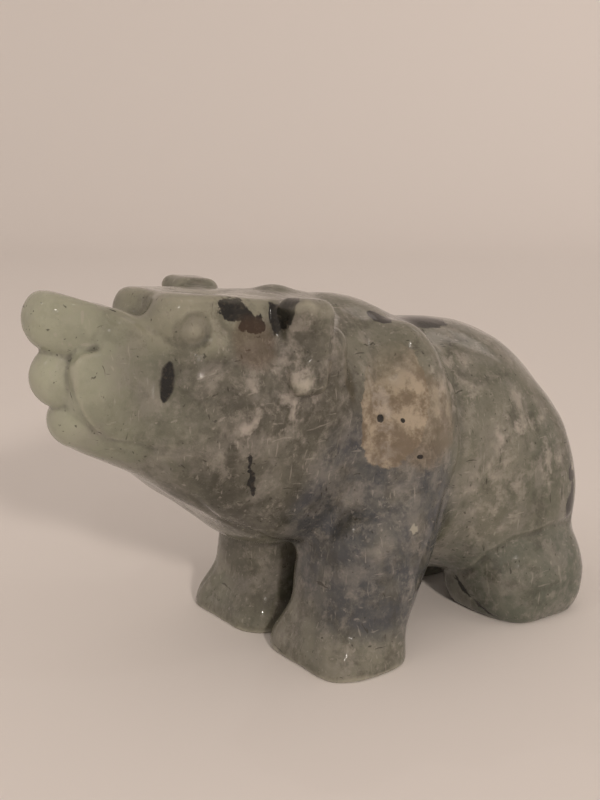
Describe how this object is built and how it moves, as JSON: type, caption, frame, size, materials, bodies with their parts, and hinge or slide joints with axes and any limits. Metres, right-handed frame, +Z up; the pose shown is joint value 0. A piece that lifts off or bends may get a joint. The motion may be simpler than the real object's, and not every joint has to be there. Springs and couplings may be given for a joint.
{
  "type": "stone bear carving",
  "caption": "Small polished gemstone carving of a standing bear with its nose raised, on four flat-soled feet.",
  "frame": {"origin": "on the ground under the middle of the carving, level with the soles", "axes": "+Z up, -Y the way the bear faces, +X to the bear's left"},
  "size_m": [0.051, 0.1012, 0.0627],
  "materials": {
    "polished_stone": "polished, slightly translucent grey-green stone with dark and pale inclusions"
  },
  "bodies": {
    "root": {"bear": "polished_stone"}
  },
  "joints": []
}
